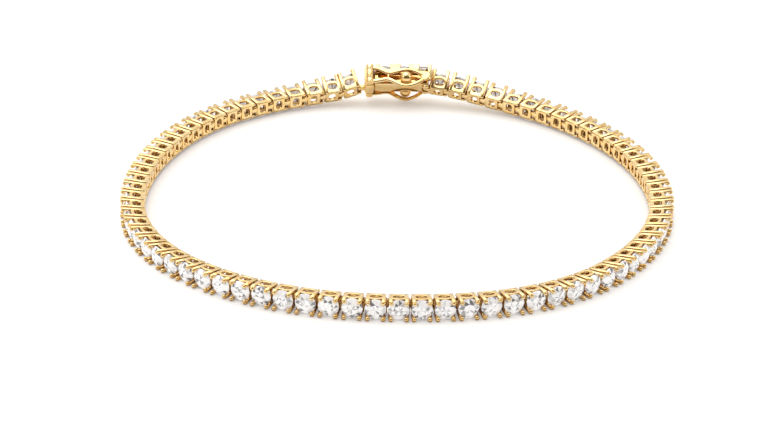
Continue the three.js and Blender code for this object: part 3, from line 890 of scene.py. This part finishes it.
class BRACELET_OT_safety_catch(bpy.types.Operator):
    """Makes one figure-eight safety catch, on the upper or the lower side of the clasp"""

    bl_idname = "bracelet.safety_catch"
    bl_label = "Safety catch"

    side: bpy.props.EnumProperty(
        name="Side", description="Side of the clasp", default="upper",
        items=[
            ("upper", "Upper", "The side that faces up"),
            ("lower", "Lower", "The side that faces down"),
        ])

    def execute(self, context):
        name = f"{self.side}_catch"
        sign = 1 if self.side == "upper" else -1
        place = bracelet_row().clasp_frame() @ Matrix.Diagonal((1, 1, sign, 1))
        bm = copies(catch_template(context.scene.bracelet_clasp, self.side == "lower"), [place])
        bmesh.ops.recalc_face_normals(bm, faces=bm.faces)
        finish_piece(f"{name}_bands", bm, polished_gold(), name, [name])
        return {"FINISHED"}


# Stage: the camera's place in metres, its angles in degrees and its lens in millimetres
CAMERA_PLACE = (-0.0013, -0.3004, 0.1321)
CAMERA_ELEVATION = 24.08
CAMERA_ROLL = 1.34
CAMERA_LENS = 139.1


def add_camera():
    data = bpy.data.cameras.new("camera")
    data.lens = CAMERA_LENS
    data.sensor_width = 36
    data.clip_start = 0.01
    data.clip_end = 20
    camera = bpy.data.objects.new("camera", data)
    bpy.context.scene.collection.objects.link(camera)
    tilt = Matrix.Rotation(math.radians(90 - CAMERA_ELEVATION), 4, "X")
    roll = Matrix.Rotation(math.radians(CAMERA_ROLL), 4, "Z")
    camera.matrix_world = Matrix.Translation(CAMERA_PLACE) @ tilt @ roll
    bpy.context.scene.camera = camera


def add_light(name, place, size, power, tint=(1, 1, 1)):
    """A square soft light that looks at the middle of the bracelet."""
    data = bpy.data.lights.new(name, "AREA")
    data.shape = "RECTANGLE"
    data.size, data.size_y = size
    data.energy = power
    data.color = tint
    light = bpy.data.objects.new(name, data)
    bpy.context.scene.collection.objects.link(light)
    place = Vector(place)
    turn = (Vector((0, 0, 0.002)) - place).to_track_quat("-Z", "Y").to_matrix().to_4x4()
    light.matrix_world = Matrix.Translation(place) @ turn


def studio_sky():
    """Soft light all round, brighter above and behind than low down in front."""
    world = bpy.data.worlds.new("studio")
    world.use_nodes = True
    tree = world.node_tree
    coordinates = tree.nodes.new("ShaderNodeTexCoord")
    height = tree.nodes.new("ShaderNodeVectorMath")
    height.operation = "DOT_PRODUCT"
    height.inputs[1].default_value = (0, 0.68, 0.73)
    tree.links.new(coordinates.outputs["Generated"], height.inputs[0])
    shade = ramp(tree, height.outputs["Value"], [
        (0.0, (0.14, 0.11, 0.08, 1)), (0.25, (0.45, 0.42, 0.39, 1)),
        (0.65, (0.78, 0.77, 0.76, 1)), (0.95, grey(1))])
    tree.links.new(shade, tree.nodes["Background"].inputs["Color"])
    tree.nodes["Background"].inputs["Strength"].default_value = 1.02
    bpy.context.scene.world = world


def add_floor():
    colours = bpy.context.scene.bracelet_colours
    material, tree, shader = node_material("pale_floor")
    lighter = [min(value * 1.02, 1) for value in colours.floor]
    tone = ramp(tree, noise(tree, 6), [(0.3, colours.floor), (0.7, lighter)])
    tree.links.new(tone, shader.inputs["Base Color"])
    shader.inputs["Roughness"].default_value = 0.7
    shader.inputs["Emission Color"].default_value = (1.0, 0.985, 0.96, 1)
    shader.inputs["Emission Strength"].default_value = 0.27
    bm = bmesh.new()
    bmesh.ops.create_grid(bm, x_segments=8, y_segments=8, size=2)
    mesh = bpy.data.meshes.new("floor")
    bm.to_mesh(mesh)
    bm.free()
    mesh.materials.append(material)
    floor = bpy.data.objects.new("floor", mesh)
    bpy.context.scene.collection.objects.link(floor)


class BRACELET_OT_stage(bpy.types.Operator):
    """Makes the pale floor, the soft lights and the camera"""

    bl_idname = "bracelet.stage"
    bl_label = "Stage"

    def execute(self, context):
        add_camera()
        add_floor()
        studio_sky()
        add_light("overhead", (-0.1, 0.1, 0.5), (0.6, 0.6), 1.9)
        add_light("left", (-0.45, -0.15, 0.22), (0.2, 0.3), 0.35)
        add_light("right", (0.45, -0.05, 0.25), (0.15, 0.3), 0.25)
        context.scene.view_settings.view_transform = "Standard"
        return {"FINISHED"}


class BRACELET_PT_panel(bpy.types.Panel):
    bl_label = "Tennis bracelet"
    bl_idname = "BRACELET_PT_panel"
    bl_space_type = "VIEW_3D"
    bl_region_type = "UI"
    bl_category = "Bracelet"

    def draw(self, context):
        layout = self.layout
        for kind in OPERATORS:
            layout.operator(kind.bl_idname)
        for _, attribute in GROUPS:
            group = getattr(context.scene, attribute)
            box = layout.box()
            for name in group.__annotations__:
                box.prop(group, name)


GROUPS = [
    (BraceletLinkSizes, "bracelet_links"),
    (BraceletStoneSizes, "bracelet_stones"),
    (BraceletClaspSizes, "bracelet_clasp"),
    (BraceletColours, "bracelet_colours"),
]
OPERATORS = [
    BRACELET_OT_stage,
    BRACELET_OT_settings,
    BRACELET_OT_stones,
    BRACELET_OT_clasp_box,
    BRACELET_OT_clasp_tongue,
    BRACELET_OT_safety_catch,
]


def register():
    for kind, attribute in GROUPS:
        bpy.utils.register_class(kind)
        setattr(bpy.types.Scene, attribute, bpy.props.PointerProperty(type=kind))
    for kind in OPERATORS + [BRACELET_PT_panel]:
        bpy.utils.register_class(kind)


def unregister():
    for kind in reversed(OPERATORS + [BRACELET_PT_panel]):
        bpy.utils.unregister_class(kind)
    for kind, attribute in reversed(GROUPS):
        delattr(bpy.types.Scene, attribute)
        bpy.utils.unregister_class(kind)


def main():
    register()
    bpy.ops.bracelet.stage()
    bpy.ops.bracelet.settings()
    bpy.ops.bracelet.stones()
    bpy.ops.bracelet.clasp_box()
    bpy.ops.bracelet.clasp_tongue()
    bpy.ops.bracelet.safety_catch(side="upper")
    bpy.ops.bracelet.safety_catch(side="lower")


if __name__ == "__main__":
    main()
